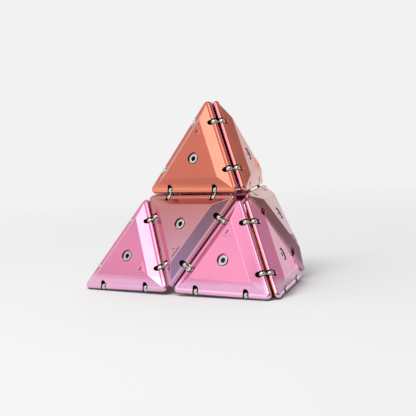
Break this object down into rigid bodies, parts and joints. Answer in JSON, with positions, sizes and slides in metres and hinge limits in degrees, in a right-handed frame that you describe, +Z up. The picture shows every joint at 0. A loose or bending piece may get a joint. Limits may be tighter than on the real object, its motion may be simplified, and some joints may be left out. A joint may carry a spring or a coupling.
{
  "type": "folding pyramid puzzle",
  "caption": "Folding pyramid puzzle: triangular plates joined edge to edge by steel figure-eight links, folded into a hollow pyramid",
  "frame": {"origin": "centre of the bounding box at floor level, where the lower plates' corners stand", "axes": "+X from the left foot to the right foot along the front, +Y to the back, +Z up"},
  "size_m": [0.1066, 0.0692, 0.0824],
  "materials": {
    "orange_shell": "satin metallised orange",
    "pink_shell": "satin metallised pink",
    "rose_shell": "satin metallised rose",
    "steel_rivet": "polished steel",
    "steel_link": "polished steel",
    "steel_pin": "drawn steel wire"
  },
  "bodies": {
    "middle_front": {"middle_front_outer_shell": "rose_shell", "middle_front_inner_shell": "pink_shell", "middle_front_rivet": "steel_rivet", "middle_front_pins": "steel_pin"},
    "top_front": {"top_front_outer_shell": "orange_shell", "top_front_inner_shell": "pink_shell", "top_front_rivet": "steel_rivet", "top_front_pins": "steel_pin"},
    "left_front": {"left_front_outer_shell": "pink_shell", "left_front_inner_shell": "orange_shell", "left_front_rivet": "steel_rivet", "left_front_pins": "steel_pin"},
    "right_front": {"right_front_outer_shell": "pink_shell", "right_front_inner_shell": "orange_shell", "right_front_rivet": "steel_rivet", "right_front_pins": "steel_pin"},
    "top_right": {"top_right_outer_shell": "orange_shell", "top_right_inner_shell": "pink_shell", "top_right_rivet": "steel_rivet", "top_right_pins": "steel_pin"},
    "middle_right": {"middle_right_outer_shell": "rose_shell", "middle_right_inner_shell": "pink_shell", "middle_right_rivet": "steel_rivet", "middle_right_pins": "steel_pin"},
    "right_side": {"right_side_outer_shell": "pink_shell", "right_side_inner_shell": "orange_shell", "right_side_rivet": "steel_rivet", "right_side_pins": "steel_pin"},
    "top_back": {"top_back_outer_shell": "orange_shell", "top_back_inner_shell": "pink_shell", "top_back_rivet": "steel_rivet", "top_back_pins": "steel_pin"},
    "middle_back": {"middle_back_outer_shell": "rose_shell", "middle_back_inner_shell": "pink_shell", "middle_back_rivet": "steel_rivet", "middle_back_pins": "steel_pin"},
    "left_side": {"left_side_outer_shell": "pink_shell", "left_side_inner_shell": "orange_shell", "left_side_rivet": "steel_rivet", "left_side_pins": "steel_pin"},
    "middle_front_to_top_front_links": {"middle_front_to_top_front_links": "steel_link"},
    "middle_front_to_left_front_links": {"middle_front_to_left_front_links": "steel_link"},
    "middle_front_to_right_front_links": {"middle_front_to_right_front_links": "steel_link"},
    "top_front_to_top_right_links": {"top_front_to_top_right_links": "steel_link"},
    "top_front_to_top_back_links": {"top_front_to_top_back_links": "steel_link"},
    "top_right_to_middle_right_links": {"top_right_to_middle_right_links": "steel_link"},
    "top_back_to_middle_back_links": {"top_back_to_middle_back_links": "steel_link"},
    "right_front_to_right_side_links": {"right_front_to_right_side_links": "steel_link"},
    "left_front_to_left_side_links": {"left_front_to_left_side_links": "steel_link"},
    "left_front_open_links": {"left_front_open_links": "steel_link"},
    "right_front_open_links": {"right_front_open_links": "steel_link"}
  },
  "joints": [
    {"name": "top_front_link_turn", "type": "hinge", "parent": "middle_front", "child": "middle_front_to_top_front_links", "pos_m": [0.00015, -0.01338, 0.04039], "axis": [0.9993, -0.0333, 0.0162], "range_deg": [0, 20]},
    {"name": "top_front_fold", "type": "hinge", "parent": "middle_front_to_top_front_links", "child": "top_front", "pos_m": [0.00015, -0.01188, 0.04367], "axis": [0.9993, -0.0333, 0.0162], "range_deg": [0, 20]},
    {"name": "left_front_link_turn", "type": "hinge", "parent": "middle_front", "child": "middle_front_to_left_front_links", "pos_m": [-0.01165, -0.02247, 0.02212], "axis": [-0.4987, 0.4186, 0.759], "range_deg": [0, 50]},
    {"name": "left_front_fold", "type": "hinge", "parent": "middle_front_to_left_front_links", "child": "left_front", "pos_m": [-0.01477, -0.02317, 0.02046], "axis": [-0.4987, 0.4186, 0.759], "range_deg": [0, 50]},
    {"name": "right_front_link_turn", "type": "hinge", "parent": "middle_front", "child": "middle_front_to_right_front_links", "pos_m": [0.01191, -0.02325, 0.0225], "axis": [-0.5006, -0.3853, -0.7752], "range_deg": [0, 50]},
    {"name": "right_front_fold", "type": "hinge", "parent": "middle_front_to_right_front_links", "child": "right_front", "pos_m": [0.01502, -0.02402, 0.02087], "axis": [-0.5006, -0.3853, -0.7752], "range_deg": [0, 50]},
    {"name": "top_right_link_turn", "type": "hinge", "parent": "top_front", "child": "top_front_to_top_right_links", "pos_m": [0.01187, -0.00474, 0.06283], "axis": [0.5021, -0.3363, -0.7968], "range_deg": [0, 45]},
    {"name": "top_right_fold", "type": "hinge", "parent": "top_front_to_top_right_links", "child": "top_right", "pos_m": [0.01385, -0.00173, 0.06281], "axis": [0.5021, -0.3363, -0.7968], "range_deg": [0, 45]},
    {"name": "top_back_link_turn", "type": "hinge", "parent": "top_front", "child": "top_front_to_top_back_links", "pos_m": [-0.01169, -0.00395, 0.06245], "axis": [0.4973, 0.303, 0.813], "range_deg": [0, 45]},
    {"name": "top_back_fold", "type": "hinge", "parent": "top_front_to_top_back_links", "child": "top_back", "pos_m": [-0.0133, -0.00074, 0.06224], "axis": [0.4973, 0.303, 0.813], "range_deg": [0, 45]},
    {"name": "middle_right_link_turn", "type": "hinge", "parent": "top_right", "child": "top_right_to_middle_right_links", "pos_m": [0.01563, 0.01166, 0.04349], "axis": [0.4266, -0.9042, 0.0229], "range_deg": [0, 45]},
    {"name": "middle_right_fold", "type": "hinge", "parent": "top_right_to_middle_right_links", "child": "middle_right", "pos_m": [0.01701, 0.01223, 0.04021], "axis": [0.4266, -0.9042, 0.0229], "range_deg": [0, 45]},
    {"name": "middle_back_link_turn", "type": "hinge", "parent": "top_back", "child": "top_back_to_middle_back_links", "pos_m": [-0.01155, 0.01144, 0.04213], "axis": [0.5714, 0.8197, -0.04], "range_deg": [0, 45]},
    {"name": "middle_back_fold", "type": "hinge", "parent": "top_back_to_middle_back_links", "child": "middle_back", "pos_m": [-0.01282, 0.01216, 0.03884], "axis": [0.5714, 0.8197, -0.04], "range_deg": [0, 45]},
    {"name": "right_side_link_turn", "type": "hinge", "parent": "right_front", "child": "right_front_to_right_side_links", "pos_m": [0.03857, -0.02289, 0.02031], "axis": [0.4979, -0.3372, -0.7989], "range_deg": [0, 54]},
    {"name": "right_side_fold", "type": "hinge", "parent": "right_front_to_right_side_links", "child": "right_side", "pos_m": [0.04051, -0.01986, 0.02024], "axis": [0.4979, -0.3372, -0.7989], "range_deg": [0, 54]},
    {"name": "left_side_link_turn", "type": "hinge", "parent": "left_front", "child": "left_front_to_left_side_links", "pos_m": [-0.03831, -0.02207, 0.01991], "axis": [0.4999, 0.3719, 0.7821], "range_deg": [0, 54]},
    {"name": "left_side_fold", "type": "hinge", "parent": "left_front_to_left_side_links", "child": "left_side", "pos_m": [-0.0404, -0.01914, 0.01986], "axis": [0.4999, 0.3719, 0.7821], "range_deg": [0, 54]},
    {"name": "left_front_open_link_swing", "type": "hinge", "parent": "left_front", "child": "left_front_open_links", "pos_m": [-0.02655, -0.03194, 0.00202], "axis": [-0.9986, 0.0467, -0.0231], "range_deg": [0, 110]},
    {"name": "right_front_open_link_swing", "type": "hinge", "parent": "right_front", "child": "right_front_open_links", "pos_m": [0.02676, -0.03197, 0.00204], "axis": [-0.9986, -0.0481, 0.0238], "range_deg": [0, 110]}
  ]
}
